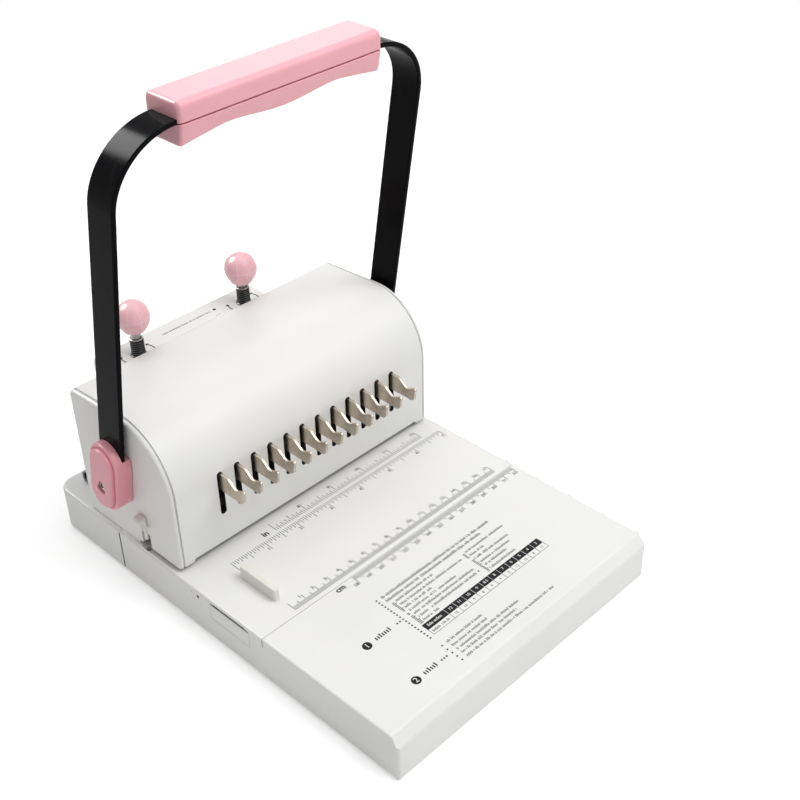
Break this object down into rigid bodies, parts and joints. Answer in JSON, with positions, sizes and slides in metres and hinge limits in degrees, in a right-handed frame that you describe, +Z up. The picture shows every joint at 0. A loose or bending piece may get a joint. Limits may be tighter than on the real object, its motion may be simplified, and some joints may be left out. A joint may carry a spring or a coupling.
{
  "type": "wire binding machine",
  "caption": "Table-top punch and wire binding machine: U-shaped pull handle, row of hooks on a curved housing, ruled flat deck, adjusting knobs and pull-out chip drawer",
  "frame": {"origin": "under the middle of the base, on the table", "axes": "X to the right along the row of hooks, Y to the back, Z up"},
  "size_m": [0.2336, 0.303, 0.308],
  "materials": {
    "white_plastic": "fine satin moulded ABS",
    "pink_plastic": "semi-gloss moulded ABS",
    "black_metal": "gloss black enamel",
    "dark_steel": "dark phosphated steel",
    "nickel": "nickel plated sheet steel",
    "steel": "plain steel",
    "bright_metal": "bright zinc or chrome",
    "rubber": "matte rubber",
    "bronze": "sintered bronze"
  },
  "bodies": {
    "base": {"front_base": "white_plastic", "deck_panel": "white_plastic", "bottom_plate": "steel", "rubber_feet": "rubber", "left_frame": "steel", "right_frame": "steel", "left_bush": "bronze", "right_bush": "bronze", "die_plate": "steel", "stripper_plate": "steel", "guide_rods": "bright_metal", "left_cap": "white_plastic", "right_cap": "white_plastic", "main_cover": "white_plastic", "rear_panel": "white_plastic", "crimp_hood": "white_plastic", "crimp_anvil": "dark_steel", "left_sleeve": "black_metal", "right_sleeve": "black_metal", "left_spring": "bright_metal", "right_spring": "bright_metal"},
    "handle": {"strap": "black_metal", "grip_upper": "pink_plastic", "grip_lower": "pink_plastic", "left_pivot_cover": "pink_plastic", "right_pivot_cover": "pink_plastic", "left_pivot_screw": "bright_metal", "right_pivot_screw": "bright_metal", "shaft": "steel", "left_pinion": "steel", "right_pinion": "steel"},
    "carriage": {"punch_bar": "steel", "punches": "bright_metal", "left_rack": "steel", "right_rack": "steel", "hook_bar": "nickel", "hooks": "nickel", "crimp_yoke": "dark_steel"},
    "drawer": {"chip_drawer": "white_plastic"},
    "guide": {"edge_guide": "white_plastic"},
    "extension": {"guide_extension": "white_plastic"},
    "peg": {"alignment_peg": "white_plastic"},
    "left_plunger": {"left_pin": "bright_metal"},
    "left_ball": {"left_knob": "pink_plastic"},
    "right_plunger": {"right_pin": "bright_metal"},
    "right_ball": {"right_knob": "pink_plastic"}
  },
  "joints": [
    {"name": "handle_turn", "type": "hinge", "parent": "base", "child": "handle", "pos_m": [0, 0.076, 0.076], "axis": [1, 0, 0], "range_deg": [0, 75]},
    {"name": "carriage_slide", "type": "slide", "parent": "base", "child": "carriage", "axis": [0, 0, -1], "range_m": [0, 0.0116], "stiffness_N_per_m": 3000, "springref_m": -0.02, "deforming": ["left_spring", "right_spring"]},
    {"name": "drawer_slide", "type": "slide", "parent": "base", "child": "drawer", "axis": [0, 1, 0], "range_m": [0, 0.085]},
    {"name": "guide_lift", "type": "slide", "parent": "base", "child": "guide", "axis": [0, 0, 1], "range_m": [0, 0.012]},
    {"name": "extension_slide", "type": "slide", "parent": "base", "child": "extension", "axis": [-1, 0, 0], "range_m": [0, 0.1397]},
    {"name": "peg_slide", "type": "slide", "parent": "base", "child": "peg", "axis": [0, 0, -1], "range_m": [0, 0.008]},
    {"name": "left_press", "type": "slide", "parent": "base", "child": "left_plunger", "axis": [0, 0, -1], "range_m": [0, 0.003], "stiffness_N_per_m": 400, "springref_m": -0.005},
    {"name": "left_turn", "type": "hinge", "parent": "left_plunger", "child": "left_ball", "pos_m": [-0.0492, 0.1225, 0.1327], "axis": [0, 0, 1], "range_deg": [-180, 180]},
    {"name": "right_press", "type": "slide", "parent": "base", "child": "right_plunger", "axis": [0, 0, -1], "range_m": [0, 0.001], "stiffness_N_per_m": 400, "springref_m": -0.005},
    {"name": "right_turn", "type": "hinge", "parent": "right_plunger", "child": "right_ball", "pos_m": [0.0345, 0.1225, 0.1309], "axis": [0, 0, 1], "range_deg": [-180, 180]}
  ],
  "couplings": [
    {"joint": "carriage_slide", "follows": "handle_turn", "m_per_rad": 0.00875}
  ]
}
